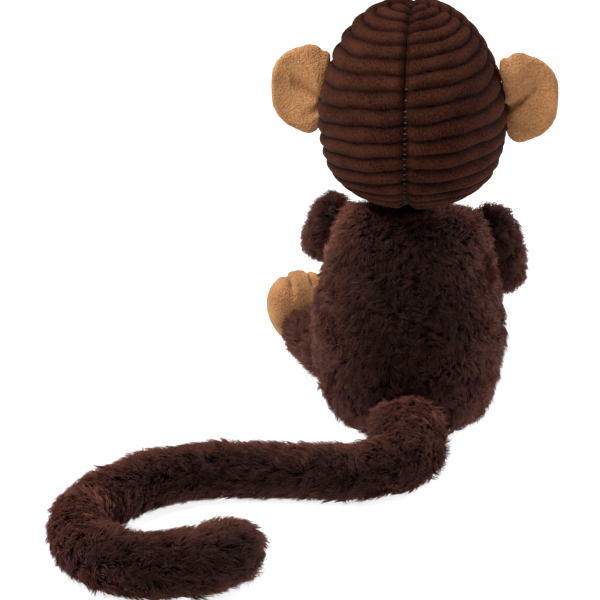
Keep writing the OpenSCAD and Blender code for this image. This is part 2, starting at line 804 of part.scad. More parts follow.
seat_panel();
back_left();
back_right();
belly_panel();
closing_stitches();
body_stuffing();
bean_pouch();
bean_filling();
neck_plug();
neck_thread();
head_back_left();
head_back_right();
head_side_left();
head_side_right();
face_panel();
head_stuffing();
muzzle();
muzzle_stuffing();
nose_stitching();
mouth_stitching();
eye_left();
eye_right();
eye_washer_left();
eye_washer_right();
ear_left_back();
ear_left_front();
ear_right_back();
ear_right_front();
arm_left();
arm_left_stuffing();
hand_left();
arm_right();
arm_right_stuffing();
hand_right();
leg_left();
leg_left_stuffing();
foot_left_upper();
foot_left_sole();
foot_left_stuffing();
toe_stitches_left();
leg_right();
leg_right_stuffing();
foot_right_upper();
foot_right_sole();
foot_right_stuffing();
toe_stitches_right();
tail();
tail_stuffing();
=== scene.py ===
import json
import math
import bpy
import numpy as np
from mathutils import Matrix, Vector
from mathutils.kdtree import KDTree


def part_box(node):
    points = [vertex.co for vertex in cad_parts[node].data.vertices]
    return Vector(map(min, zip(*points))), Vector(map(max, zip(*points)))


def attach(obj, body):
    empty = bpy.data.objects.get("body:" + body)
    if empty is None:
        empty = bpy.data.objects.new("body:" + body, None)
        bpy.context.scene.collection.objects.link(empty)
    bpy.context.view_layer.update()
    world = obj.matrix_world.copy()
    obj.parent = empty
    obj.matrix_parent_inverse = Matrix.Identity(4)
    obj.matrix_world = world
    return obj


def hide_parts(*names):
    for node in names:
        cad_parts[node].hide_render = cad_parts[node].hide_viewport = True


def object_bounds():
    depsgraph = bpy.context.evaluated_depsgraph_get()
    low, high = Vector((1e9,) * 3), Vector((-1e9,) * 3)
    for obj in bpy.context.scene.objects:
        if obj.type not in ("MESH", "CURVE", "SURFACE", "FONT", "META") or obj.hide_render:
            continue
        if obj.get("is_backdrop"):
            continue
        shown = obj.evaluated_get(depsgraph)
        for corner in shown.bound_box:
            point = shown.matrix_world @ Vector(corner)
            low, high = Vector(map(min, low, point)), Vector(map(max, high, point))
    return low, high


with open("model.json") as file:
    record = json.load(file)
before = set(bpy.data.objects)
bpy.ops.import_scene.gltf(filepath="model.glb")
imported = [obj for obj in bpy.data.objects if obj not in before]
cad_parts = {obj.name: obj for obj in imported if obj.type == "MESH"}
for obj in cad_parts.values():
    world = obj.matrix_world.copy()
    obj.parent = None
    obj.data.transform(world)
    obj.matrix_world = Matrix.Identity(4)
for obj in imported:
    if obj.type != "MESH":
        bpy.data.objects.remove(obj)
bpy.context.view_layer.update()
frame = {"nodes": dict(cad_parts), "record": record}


# ---- Table, light and camera ----
# The monkey is seen from behind and a little above, on a white table in a bright tent of diffusing
# cloth, with one large soft lamp above and to the left.

def alone(piece):
    """Selects this piece only, so that an operator acts on nothing else."""
    if bpy.context.object and bpy.context.object.mode != "OBJECT":
        bpy.ops.object.mode_set(mode="OBJECT")
    bpy.ops.object.select_all(action="DESELECT")
    piece.select_set(True)
    bpy.context.view_layer.objects.active = piece


def new_material(name, rough):
    """A new material of this roughness, with its nodes, its links and its shader."""
    material = bpy.data.materials.new(name)
    material.use_nodes = True
    tree = material.node_tree
    shader = tree.nodes["Principled BSDF"]
    shader.inputs["Roughness"].default_value = rough
    return material, tree.nodes, tree.links, shader


table_size = 40
table_below = 0.0002
bpy.ops.object.select_all(action="DESELECT")
bpy.ops.mesh.primitive_plane_add(size=table_size, location=(0, 0, -table_below))
table = bpy.context.object
table.name = "table"
# The table top is opal glass with a light under it, which leaves hardly any shadow
table_white, _, _, shader = new_material("table_white", 0.9)
shader.inputs["Base Color"].default_value = (0.4, 0.4, 0.4, 1)
shader.inputs["Specular IOR Level"].default_value = 0.1
shader.inputs["Emission Color"].default_value = (1, 1, 1, 1)
shader.inputs["Emission Strength"].default_value = 0.88
table.data.materials.append(table_white)
table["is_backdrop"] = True

# The walls round the table are white and lit, and the room above them is dim. The heights are the
# sines of the angles above the table's edge at which the walls begin to darken and end
wall_foot, wall_head = 0.03, 0.16
wall_light, room_light = 1.0, 0.07
tent = bpy.data.worlds.new("tent")
tent.use_nodes = True
nodes, links = tent.node_tree.nodes, tent.node_tree.links
nodes["Background"].inputs["Color"].default_value = (1, 1, 1, 1)
sky = nodes.new("ShaderNodeTexCoord")
parts = nodes.new("ShaderNodeSeparateXYZ")
links.new(sky.outputs["Generated"], parts.inputs["Vector"])
walls = nodes.new("ShaderNodeMapRange")
walls.inputs["From Min"].default_value = wall_foot
walls.inputs["From Max"].default_value = wall_head
walls.inputs["To Min"].default_value = wall_light
walls.inputs["To Max"].default_value = room_light
links.new(parts.outputs["Z"], walls.inputs["Value"])
links.new(walls.outputs["Result"], nodes["Background"].inputs["Strength"])
bpy.context.scene.world = tent
bpy.context.scene.view_settings.view_transform = "Standard"


def hang_lamp(name, at, aim, size, watts):
    """A square lamp that points at a place."""
    bpy.ops.object.light_add(type="AREA", location=at)
    lamp = bpy.context.object
    lamp.name = name
    lamp.data.size = size
    lamp.data.energy = watts
    lamp.rotation_euler = (Vector(aim) - Vector(at)).to_track_quat("-Z", "Y").to_euler()


hang_lamp("soft_lamp", (0.75, 0.35, 1.45), (0.03, 0.03, 0.12), 0.8, 40)
hang_lamp("side_lamp", (-1.1, -0.45, 0.7), (0.0, 0.0, 0.12), 0.6, 13)

# The camera stands behind the monkey, a little to its right and above it, with a long lens
view_turn, view_rise, view_far = math.radians(7), math.radians(25), 1.6
view_aim = Vector((0.0714, -0.0196, 0.0603))
view_from = view_aim + view_far * Vector((
    -math.sin(view_turn) * math.cos(view_rise),
    math.cos(view_turn) * math.cos(view_rise),
    math.sin(view_rise),
))
bpy.ops.object.camera_add(location=view_from)
camera = bpy.context.object
camera.rotation_euler = (view_aim - view_from).to_track_quat("-Z", "Y").to_euler()
camera.data.sensor_width = 36
camera.data.lens = 150
bpy.context.scene.camera = camera


# ---- Torso ----
# Three panels of long-pile fur fabric and a flat round seat, sewn into an egg, filled with
# polyester fibre over a pouch of beans, and closed by hand at the back. The pile lies downwards.

joints = frame["record"]["behaviour"]["joints"]
joint_at = {j["name"]: Vector(j["pos_m"]) for j in joints}


def copy_nodes(name, *nodes):
    """One new mesh from copies of CAD nodes, with its doubles merged."""
    copies = []
    for n in nodes:
        piece = frame["nodes"][n].copy()
        piece.data = piece.data.copy()
        piece.data.materials.clear()
        piece.parent = None
        piece.matrix_world.identity()
        for key in list(piece.keys()):
            del piece[key]
        piece.hide_render = piece.hide_viewport = False
        bpy.context.collection.objects.link(piece)
        copies.append(piece)
    alone(copies[0])
    for piece in copies:
        piece.select_set(True)
    if len(copies) > 1:
        bpy.ops.object.join()
    piece = bpy.context.object
    piece.name = name
    piece.data.name = name
    bpy.ops.object.mode_set(mode="EDIT")
    bpy.ops.mesh.select_all(action="SELECT")
    bpy.ops.mesh.remove_doubles(threshold=0.00001)
    bpy.ops.object.mode_set(mode="OBJECT")
    return piece


def wrap(piece):
    """Keeps only the closed outside of a piece that bulges everywhere."""
    alone(piece)
    bpy.ops.object.mode_set(mode="EDIT")
    bpy.ops.mesh.select_all(action="SELECT")
    bpy.ops.mesh.convex_hull(delete_unused=True, use_existing_faces=False)
    bpy.ops.mesh.select_all(action="SELECT")
    bpy.ops.mesh.normals_make_consistent(inside=False)
    bpy.ops.object.mode_set(mode="OBJECT")


def fatten(piece, by):
    """Moves a piece's surface out along its normals, or in when by is negative."""
    alone(piece)
    bpy.ops.object.mode_set(mode="EDIT")
    bpy.ops.mesh.select_all(action="SELECT")
    bpy.ops.transform.shrink_fatten(value=by)
    bpy.ops.object.mode_set(mode="OBJECT")


def remesh(piece, cell):
    """Gives a closed piece even faces of one size."""
    alone(piece)
    piece.data.remesh_voxel_size = cell
    piece.data.remesh_voxel_adaptivity = 0
    bpy.ops.object.voxel_remesh()


def soften(piece, times):
    """Rounds a skin's corners off."""
    alone(piece)
    rounder = piece.modifiers.new("rounder", "SMOOTH")
    rounder.factor = 0.5
    rounder.iterations = times
    bpy.ops.object.modifier_apply(modifier=rounder.name)


def points_of(piece):
    """The places of a piece's points, one to a row."""
    co = np.empty(len(piece.data.vertices) * 3)
    piece.data.vertices.foreach_get("co", co)
    return co.reshape(-1, 3)


def normals_of(piece):
    """The ways that a piece's points face, one to a row."""
    no = np.empty(len(piece.data.vertices) * 3)
    piece.data.vertices.foreach_get("normal", no)
    return no.reshape(-1, 3)


def set_points(piece, co):
    """Moves a piece's points to new places."""
    piece.data.vertices.foreach_set("co", np.asarray(co, float).ravel())
    piece.data.update()


def unit_rows(v):
    """Each row as a direction of length 1."""
    return v / np.maximum(np.linalg.norm(v, axis=1, keepdims=True), 1e-9)


def lay_pile(piece, count, rise, run, comb, keep=None, seed=1, thick=0.00027, tuft=9, sway=0.8):
    """Covers a skin with pile. Each lock is a closed three-sided spike that rises from the skin,
    leans the way the comb goes with a curl of its own, and gathers with the others of its tuft."""
    tousle = 140
    tuft_sway, lock_sway = 0.55, 0.4
    root_depth, lowest_root, lowest_tip = 0.0006, 0.0003, 0.0008
    lock_points = 7
    rng = np.random.default_rng(seed)
    mesh = piece.data
    mesh.calc_loop_triangles()
    tri = np.empty(len(mesh.loop_triangles) * 3, int)
    mesh.loop_triangles.foreach_get("vertices", tri)
    tri = tri.reshape(-1, 3)
    co, no = points_of(piece), normals_of(piece)
    edges = co[tri[:, 1:]] - co[tri[:, :1]]
    area = np.linalg.norm(np.cross(edges[:, 0], edges[:, 1]), axis=1)
    pick = tri[rng.choice(len(tri), count, p=area / area.sum())]
    a, b = rng.random((2, count, 1))
    over = a + b > 1
    a, b = np.where(over, 1 - a, a), np.where(over, 1 - b, b)
    root = co[pick[:, 0]] * (1 - a - b) + co[pick[:, 1]] * a + co[pick[:, 2]] * b
    up = unit_rows(no[pick[:, 0]] * (1 - a - b) + no[pick[:, 1]] * a + no[pick[:, 2]] * b)
    if keep is not None:
        kept = keep(root, up)
        root, up = root[kept], up[kept]
    count = len(root)
    lean = comb(root, up)
    lean = unit_rows(lean - up * (lean * up).sum(1, keepdims=True))

    def nearest_of(middles):
        tree = KDTree(len(middles))
        for k, at in enumerate(middles):
            tree.insert(at, k)
        tree.balance()
        return np.array([tree.find(at)[1] for at in root])

    # Each lock belongs to the tuft, and to the larger tousle, whose middle is nearest
    tufts, tousles = max(count // tuft, 1), max(count // tousle, 1)
    nearest, wide = nearest_of(root[:tufts]), nearest_of(root[-tousles:])
    side = np.cross(up, lean)
    turn = (rng.normal(0, sway, (tousles, 1))[wide]
            + rng.normal(0, tuft_sway, (tufts, 1))[nearest]
            + rng.normal(0, lock_sway, (count, 1)))
    way = lean * np.cos(turn) + side * np.sin(turn)
    long = rng.uniform(0.85, 1.12, (tousles, 1))[wide] * rng.uniform(0.7, 1.15, (count, 1))
    high = rng.uniform(0.75, 1.2, (tufts, 1))[nearest]
    tip = root + up * rise * long * high + way * run * long
    gather = tip[:tufts][nearest]
    tip = tip + (gather - tip) * rng.uniform(0.15, 0.75, (count, 1))
    bend = rng.normal(0, 0.16, (count, 1)) * rise
    half = (root + up * rise * long * high * 0.66 + way * run * long * 0.32
            + np.cross(up, way) * bend)
    for p in (half, tip):
        p[:, 2] = np.maximum(p[:, 2], lowest_tip)
    out = unit_rows(tip - root)
    across = unit_rows(np.cross(out, up) + 1e-6)
    flat = np.cross(across, out)
    start = root - up * root_depth
    width = thick * rng.uniform(0.7, 1.3, (count, 1))
    rows = []
    for place, share in ((start, 1.0), (half, 0.9)):
        for k in range(3):
            turn = 2 * math.pi * k / 3 + math.pi / 6
            rows.append(place + width * share * (across * math.cos(turn) + flat * math.sin(turn)))
    rows.append(tip)
    verts = np.stack(rows, 1)
    verts[:, :, 2] = np.maximum(verts[:, :, 2], lowest_root)
    # One triangle closes the root, three four-sided faces go half way, and three triangles end it
    faces = [2, 1, 0], [0, 1, 4, 3], [1, 2, 5, 4], [2, 0, 3, 5], [3, 4, 6], [4, 5, 6], [5, 3, 6]
    first = np.arange(count)[:, None] * lock_points
    corners = np.concatenate([first + np.array(face) for face in faces], axis=1)
    sizes = np.tile([len(face) for face in faces], count)
    starts = np.concatenate([[0], np.cumsum(sizes)[:-1]])
    pile = bpy.data.meshes.new(piece.name + "_pile")
    pile.vertices.add(count * lock_points)
    pile.vertices.foreach_set("co", verts.ravel())
    pile.loops.add(int(sizes.sum()))
    pile.loops.foreach_set("vertex_index", corners.ravel().astype(np.int32))
    pile.polygons.add(len(sizes))
    pile.polygons.foreach_set("loop_start", starts.astype(np.int32))
    pile.polygons.foreach_set("loop_total", sizes.astype(np.int32))
    pile.polygons.foreach_set("use_smooth", np.ones(len(sizes), bool))
    pile.update()
    # How far along its lock a point is, by which the material paints shade near the root, how light
    # its lock is, and which way the skin there faces, by which it paints rim light
    along = pile.attributes.new("along", "FLOAT", "POINT")
    lock_along = [0.1, 0.1, 0.1, 0.55, 0.55, 0.55, 1.0]
    along.data.foreach_set("value", np.tile(lock_along, count).astype(np.float32))
    tint = pile.attributes.new("tint", "FLOAT", "POINT")
    shade = (0.3 * rng.random(tousles)[wide] + 0.35 * rng.random(tufts)[nearest]
             + 0.35 * rng.random(count))
    tint.data.foreach_set("value", np.repeat(shade, lock_points).astype(np.float32))
    facing = pile.attributes.new("skin_faces", "FLOAT_VECTOR", "POINT")
    facing.data.foreach_set("vector", np.repeat(up, lock_points, axis=0).astype(np.float32).ravel())
    pile.materials.append(piece.data.materials[0])
    locks = bpy.data.objects.new(piece.name + "_pile", pile)
    bpy.context.collection.objects.link(locks)
    alone(piece)
    locks.select_set(True)
    bpy.ops.object.join()


def mottle_group():
    """Cloth that has faded in clouds: a fine pattern and a coarse one, added in their shares."""
    group = bpy.data.node_groups.new("mottled_cloth", "ShaderNodeTree")
    sockets = group.interface
    sockets.new_socket("Vector", in_out="INPUT", socket_type="NodeSocketVector")
    for name in ("Fine", "Fine Share", "Cloud Scale", "Cloud Detail", "Cloud Share"):
        sockets.new_socket(name, in_out="INPUT", socket_type="NodeSocketFloat")
    sockets.new_socket("Mottle", in_out="OUTPUT", socket_type="NodeSocketFloat")
    nodes, links = group.nodes, group.links
    given, put_out = nodes.new("NodeGroupInput"), nodes.new("NodeGroupOutput")
    cloud = nodes.new("ShaderNodeTexNoise")
    links.new(given.outputs["Vector"], cloud.inputs["Vector"])
    links.new(given.outputs["Cloud Scale"], cloud.inputs["Scale"])
    links.new(given.outputs["Cloud Detail"], cloud.inputs["Detail"])
    cloud_part = nodes.new("ShaderNodeMath")
    cloud_part.operation = "MULTIPLY"
    links.new(cloud.outputs["Fac"], cloud_part.inputs[0])
    links.new(given.outputs["Cloud Share"], cloud_part.inputs[1])
    both = nodes.new("ShaderNodeMath")
    both.operation = "MULTIPLY_ADD"
    links.new(given.outputs["Fine"], both.inputs[0])
    links.new(given.outputs["Fine Share"], both.inputs[1])
    links.new(cloud_part.outputs["Value"], both.inputs[2])
    links.new(both.outputs["Value"], put_out.inputs["Mottle"])
    return group


mottled_cloth = mottle_group()


def add_mottle(nodes, links, fine, fine_share, cloud_scale, cloud_detail, cloud_share):
    """Places the mottled pattern in a material, on Object coordinates; gives its output."""
    place = nodes.new("ShaderNodeTexCoord")
    mottled = nodes.new("ShaderNodeGroup")
    mottled.node_tree = mottled_cloth
    mottled.inputs["Fine Share"].default_value = fine_share
    mottled.inputs["Cloud Scale"].default_value = cloud_scale
    mottled.inputs["Cloud Detail"].default_value = cloud_detail
    mottled.inputs["Cloud Share"].default_value = cloud_share
    links.new(place.outputs["Object"], mottled.inputs["Vector"])
    links.new(fine, mottled.inputs["Fine"])
    return mottled.outputs["Mottle"]


def read_attribute(nodes, name):
    """A value that the piece's own points carry."""
    attribute = nodes.new("ShaderNodeAttribute")
    attribute.attribute_name = name
    return attribute


def colour_ramp(nodes, links, value, low_at, low, high_at, high):
    """Colours from low to high as a value rises between two places; gives its output."""
    ramp = nodes.new("ShaderNodeValToRGB")
    for stop, at, colour in zip(ramp.color_ramp.elements, (low_at, high_at), (low, high)):
        stop.position = at
        stop.color = (*colour, 1)
    links.new(value, ramp.inputs["Fac"])
    return ramp.outputs["Color"]


def multiply_colours(nodes, links, a, b):
    """One colour times another; gives its output."""
    product = nodes.new("ShaderNodeMix")
    product.data_type = "RGBA"
    product.blend_type = "MULTIPLY"
    product.inputs["Factor"].default_value = 1
    links.new(a, product.inputs["A"])
    links.new(b, product.inputs["B"])
    return product.outputs["Result"]


def set_sheen(shader, specular, weight, rough, tint):
    """The soft edge light of cloth."""
    shader.inputs["Specular IOR Level"].default_value = specular
    shader.inputs["Sheen Weight"].default_value = weight
    shader.inputs["Sheen Roughness"].default_value = rough
    shader.inputs["Sheen Tint"].default_value = (*tint, 1)


brown_fur, nodes, links, shader = new_material("brown_fur", 0.62)
set_sheen(shader, 0.14, 0.06, 0.45, (0.8, 0.4, 0.3))
faded = add_mottle(nodes, links, read_attribute(nodes, "tint").outputs["Fac"], 0.55, 45, 3, 0.5)
hue = colour_ramp(nodes, links, faded, 0.15, (0.026, 0.0070, 0.0044), 0.85, (0.125, 0.040, 0.026))
# The locks are painted darker towards their roots: painted shade deep in the pile
depth = colour_ramp(nodes, links, read_attribute(nodes, "along").outputs["Fac"],
                    0.05, (0.25, 0.22, 0.22), 0.9, (1, 1, 1))
shaded = multiply_colours(nodes, links, hue, depth)
# Painted rim light and shade: the pile is painted up to 2.4 times lighter where its skin is seen
# edge-on, partly for its lighter tips showing there, and half as light where the skin faces the
# viewer
to_world = nodes.new("ShaderNodeVectorTransform")
to_world.vector_type = "NORMAL"
to_world.convert_from = "OBJECT"
to_world.convert_to = "WORLD"
links.new(read_attribute(nodes, "skin_faces").outputs["Vector"], to_world.inputs["Vector"])
grazing = nodes.new("ShaderNodeLayerWeight")
grazing.inputs["Blend"].default_value = 0.5
links.new(to_world.outputs["Vector"], grazing.inputs["Normal"])
lift = colour_ramp(nodes, links, grazing.outputs["Facing"], 0.1, (0.50, 0.48, 0.47),
                   0.95, (2.4, 2.5, 2.6))
links.new(multiply_colours(nodes, links, shaded, lift), shader.inputs["Base Color"])

pile_tall, pile_run = 0.0066, 0.0062
skin_in = 0.003
seat_high, seat_clear = 0.0055, 0.0012
torso = copy_nodes("torso", "back_left", "back_right", "belly_panel")
wrap(torso)
remesh(torso, 0.004)
fatten(torso, -skin_in)
co = points_of(torso)
co[:, 2] = np.where(co[:, 2] < seat_high, seat_clear, co[:, 2])
# The filling pushes the cloth up into a collar round the neck, most of all behind. The collar
# falls away quickly under the head, which leaves the head room to nod
torso_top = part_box("back_left")[1].z
collar_high, collar_mid = 0.0158, 0.036
collar_inner, collar_outer = 0.011, 0.018
axis_far = np.hypot(co[:, 0], co[:, 1])
rise = np.clip((co[:, 2] - (torso_top - 0.052)) / 0.045, 0, 1)
collar_wide = np.where(axis_far < collar_mid, collar_inner, collar_outer)
collar = np.exp(-((axis_far - collar_mid) / collar_wide) ** 2) * rise ** 2 * (3 - 2 * rise)
collar *= np.clip(0.6 + co[:, 1] / 0.05, 0.35, 1)
co[:, 2] += collar_high * collar
co[:, :2] *= (1 + 0.05 * collar)[:, None]
# It is drawn out towards the shoulders, where the arms are sewn on
shoulder_draw, draw_far, draw_wide = 0.007, 0.012, 0.016
for side in ("left", "right"):
    apart = np.array(joint_at["shoulder_" + side]) - co
    far = np.linalg.norm(apart, axis=1, keepdims=True)
    co += apart / far * shoulder_draw * np.exp(-((far - draw_far) / draw_wide) ** 2)
set_points(torso, co)
soften(torso, 6)
torso.data.materials.append(brown_fur)


def torso_comb(root, up):
    """Down the body, but outwards and up round the neck."""
    way = np.tile([0.0, 0.0, -1.0], (len(root), 1))
    neck = np.clip((root[:, 2] - torso_top) / 0.010, 0, 1)[:, None]
    spread = unit_rows(root * [1, 1, 0]) + [0, 0, 0.6]
    return way * (1 - neck) + spread * neck


def torso_keep(root, up):
    """No pile on the flat seat."""
    return up[:, 2] > -0.93


lay_pile(torso, 62000, pile_tall, pile_run, torso_comb, torso_keep, seed=11)
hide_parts("back_left", "back_right", "belly_panel", "seat_panel", "body_stuffing",
            "bean_pouch", "bean_filling")
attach(torso, "torso")

# The inside of the neck, which is dark and hardly seen, reaches up into the head
neck_reach = 0.006
neck = copy_nodes("neck_cloth", "neck_plug")
co = points_of(neck)
co[:, 2] += neck_reach * (co[:, 2] > torso_top)
set_points(neck, co)
neck.data.materials.append(brown_fur)
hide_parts("neck_plug")
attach(neck, "neck")


# ---- Tail ----
# One long tube of the same fur fabric, firmly filled, sewn to the lower back. It lies on the floor
# in an S and curls back on itself, with its pile combed towards the tip.

def smooth_path(points, steps=8):
    """Places along a smooth curve through points, with the direction at each."""
    p = np.array(points, float)
    p = np.concatenate([[2 * p[0] - p[1]], p, [2 * p[-1] - p[-2]]])
    out = []
    for i in range(1, len(p) - 2):
        for s in np.linspace(0, 1, steps, endpoint=False):
            a, b, c, d = p[i - 1], p[i], p[i + 1], p[i + 2]
            out.append(0.5 * (2 * b + (c - a) * s + (2 * a - 5 * b + 4 * c - d) * s * s
                              + (3 * b - a - 3 * c + d) * s ** 3))
    out.append(p[-2])
    out = np.array(out)
    return out, unit_rows(np.gradient(out, axis=0))


def comb_along(points):
    """A comb that follows a path: the direction of the path's nearest place."""
    places, ways = smooth_path(points)

    def comb(root, up):
        """The path's way at the place nearest to each root."""
        nearest = ((root[:, None] - places[None]) ** 2).sum(2).argmin(1)
        return ways[nearest]

    return comb


# The tail's line on the floor, in mm from the place where it is sewn on
tail_root = joint_at["tail_swing"]
tail_line = [
    (0, 0), (-2, 20), (6, 36), (24, 47), (47, 51), (86, 53), (118, 58), (148, 74),
    (170, 100), (179, 132), (166, 161), (137, 173), (109, 168), (89, 154)]
tail_mid_high, tail_clear = 0.015, 0.0012
tail_rise, tail_pile_run = 0.0062, 0.0084
tail_path = [(tail_root.x + x / 1000, tail_root.y + y / 1000, tail_mid_high) for x, y in tail_line]
tail = copy_nodes("tail_fur", "tail_stuffing")
remesh(tail, 0.004)
fatten(tail, 0.002)
# The tail is widest where it is sewn on, and more so on its left
root_more, root_left_more, root_far, root_fade = 0.0035, 0.006, 0.02, 0.03
co = points_of(tail)
far = np.linalg.norm(co - np.array(tail_root), axis=1)
near_root = np.clip(1 - (far - root_far) / root_fade, 0, 1)[:, None]
co += normals_of(tail) * root_more * near_root
co[:, :1] += root_left_more * near_root * np.clip((co[:, :1] - tail_root.x) / 0.010, 0, 1)
co[:, 2] = np.maximum(co[:, 2], tail_clear)
set_points(tail, co)
tail.data.materials.append(brown_fur)
lay_pile(tail, 54000, tail_rise, tail_pile_run, comb_along(tail_path), seed=12, tuft=11, sway=0.55)
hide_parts("tail", "tail_stuffing")
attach(tail, "tail")


# ---- Arms and legs ----
# Short tubes of the fur fabric, open at the wrist and the ankle, where the hands and feet are sewn
# in. Their pile is combed towards the hand or the foot.

joint_axis = {j["name"]: Vector(j["axis"]) for j in joints}
limb_rise, limb_run = 0.0060, 0.0058
limb_fat = 0.001
# The right shoulder hangs a little lower than the left
right_arm_drop = 0.003
# The pile ends this far past the wrist, and where a leg's end faces the foot more than this
wrist_over, ankle_face = 0.001, 0.8

# The arms' lines, in mm from the shoulder
arm_lines = {
    "left": [(0, 0, 0), (8, -7, -18), (9, -25, -30), (2, -46, -33), (-8, -60, -32)],
    "right": [(0, 0, 0), (-8, -5, -21), (-9, -16, -41), (-3, -38, -48), (8, -55, -46)],
}
for side in ("left", "right"):
    shoulder = joint_at["shoulder_" + side]
    path = [tuple(shoulder + Vector(p) / 1000) for p in arm_lines[side]]
    arm = copy_nodes("arm_%s_fur" % side, "arm_%s_stuffing" % side)
    remesh(arm, 0.003)
    fatten(arm, limb_fat)
    if side == "right":
        co = points_of(arm)
        co[:, 2] -= right_arm_drop * np.clip((co[:, 2] - shoulder.z) / 0.01, 0, 1)
        set_points(arm, co)
    arm.data.materials.append(brown_fur)
    wrist, wrist_way = Vector(path[-2]), (Vector(path[-1]) - Vector(path[-2])).normalized()

    def arm_keep(root, up, wrist=np.array(wrist), way=np.array(wrist_way)):
        """No pile beyond the wrist."""
        return (root - wrist) @ way < wrist_over

    lay_pile(arm, 10000, limb_rise, limb_run, comb_along(path), arm_keep,
             seed=21 + (side == "left"))
    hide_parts("arm_" + side, "arm_%s_stuffing" % side)
    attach(arm, "arm_" + side)

    # A leg points along the floor, square to its hip's axis
    axis = joint_axis["hip_" + side]
    leg_way = np.array((axis.y, -axis.x, 0))
    leg = copy_nodes("leg_%s_fur" % side, "leg_%s_stuffing" % side)
    remesh(leg, 0.003)
    fatten(leg, limb_fat)
    leg.data.materials.append(brown_fur)

    def leg_comb(root, up, way=leg_way):
        """Straight along the leg to the foot."""
        return np.tile(way, (len(root), 1))

    def leg_keep(root, up, way=leg_way):
        """No pile on the end that is sewn to the foot."""
        return up @ way < ankle_face

    lay_pile(leg, 8000, limb_rise, limb_run, leg_comb, leg_keep, seed=31 + (side == "left"))
    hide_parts("leg_" + side, "leg_%s_stuffing" % side)
    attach(leg, "leg_" + side)


# ---- Head ----
# Two back panels and two side panels of wide corduroy round a filled egg, with a centre seam
# down the back. The ribs run across the panels and bend where the seams gather them.

# The egg ends below in a round opening for the neck, which is 20 parts wide where the egg is 56
head_low, head_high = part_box("head_back_left")
neck_part = 20 / 56
head_mid_z = head_high.z - (head_high.z - head_low.z) / (1 + math.sin(math.acos(neck_part)))
head_x, head_y, head_z = head_high.x, head_high.y, head_high.z - head_mid_z
rib_pitch, rib_high = 0.0098, 0.0027
rib_circle = 0.0655
corduroy_thick = 0.0022
side_seam = math.radians(2)
face_plane = -0.0375

bpy.ops.object.select_all(action="DESELECT")
bpy.ops.mesh.primitive_uv_sphere_add(segments=200, ring_count=220, radius=1)
ball = bpy.context.object
ball.name = "head_ball"


def cut_off(piece, at, way):
    """Cuts a piece through a place and removes what lies on the side that way points to."""
    alone(piece)
    bpy.ops.object.mode_set(mode="EDIT")
    bpy.ops.mesh.select_all(action="SELECT")
    bpy.ops.mesh.bisect(plane_co=at, plane_no=way, clear_outer=True, clear_inner=False)
    bpy.ops.object.mode_set(mode="OBJECT")


def copy_piece(piece, name):
    """A copy of a piece, with its own mesh and name."""
    new = piece.copy()
    new.data = piece.data.copy()
    new.name = new.data.name = name
    bpy.context.collection.objects.link(new)
    return new


def head_shape(co):
    """The filled head: an egg with full lower cheeks, from a ball of radius 1."""
    cheek = 2.4
    low = np.clip(-co[:, 2], 0, 0.98)
    full = (1 - low ** cheek) ** (1 / cheek) / np.sqrt(1 - low ** 2)
    top = np.clip(co[:, 2], 0, 1)
    # The head sits on the body, which presses its underside flatter, and leans a little to its left
    pressed = 0.28 * np.clip(low - 0.55, 0, 1)
    narrow, lean = 1 - 0.05 * np.sin(np.pi * top), 0.0022 * top
    return np.stack([
        co[:, 0] * head_x * full * narrow + lean,
        co[:, 1] * head_y * full,
        np.maximum(head_mid_z + (co[:, 2] + pressed) * head_z, head_low.z + 0.0005),
    ], 1)


def rib_row(co, slope):
    """Which rib a place of the unit ball is on, counted up its panel. The ribs slope differently at
    each height, and wander a little."""
    rise = np.arcsin(np.clip(co[:, 2], -1, 1))
    around = np.abs(np.arctan2(co[:, 0], co[:, 1])) * np.cos(rise) * head_x
    wander = 0.045 * np.sin(around / 0.0083 + 5 * rise) + 0.035 * np.sin(around / 0.0047 - 9 * rise)
    return (rise * rib_circle - np.tan(slope(rise)) * around) / rib_pitch + wander


def slope_right(rise):
    """The ribs of the right half are nearly level."""
    return np.radians(2 + 6 * np.clip(rise / 1.1, 0, 1))


def slope_left(rise):
    """The ribs of the left half fall away from the centre seam, less so towards the crown."""
    return np.radians(-11 + 8 * np.clip(rise / 1.1, 0, 1))


def add_bump(nodes, links, shader, height, strength, distance):
    """Raises the surface where a value is high."""
    bump = nodes.new("ShaderNodeBump")
    bump.inputs["Strength"].default_value = strength
    bump.inputs["Distance"].default_value = distance
    links.new(height, bump.inputs["Height"])
    links.new(bump.outputs["Normal"], shader.inputs["Normal"])


# The pile of the cord is painted dark in the grooves as painted shade and lighter on the rib tops,
# and it is worn lighter in patches along the ribs
brown_cord, nodes, links, shader = new_material("brown_corduroy", 0.85)
set_sheen(shader, 0.03, 0.05, 0.4, (0.85, 0.45, 0.3))
cloth = nodes.new("ShaderNodeUVMap")
cloth.uv_map = "cloth"
stretch = nodes.new("ShaderNodeMapping")
stretch.inputs["Scale"].default_value = (900, 650, 1)
links.new(cloth.outputs["UV"], stretch.inputs["Vector"])
tick = nodes.new("ShaderNodeTexNoise")
tick.inputs["Scale"].default_value = 1
tick.inputs["Detail"].default_value = 2
links.new(stretch.outputs["Vector"], tick.inputs["Vector"])
faded = add_mottle(nodes, links, tick.outputs["Fac"], 0.6, 55, 4, 0.4)
# Painted shade in the grooves and lighter rib tops, by the height of the ribs
painted_groove_shade = colour_ramp(nodes, links, read_attribute(nodes, "ridge").outputs["Fac"],
                     0.05, (0.005, 0.0016, 0.0011), 1.0, (0.039, 0.0118, 0.0066))
worn = colour_ramp(nodes, links, faded, 0.34, (0.32, 0.32, 0.32), 0.68, (1.75, 1.75, 1.75))
links.new(multiply_colours(nodes, links, painted_groove_shade, worn), shader.inputs["Base Color"])
add_bump(nodes, links, shader, faded, 0.55, 0.0006)


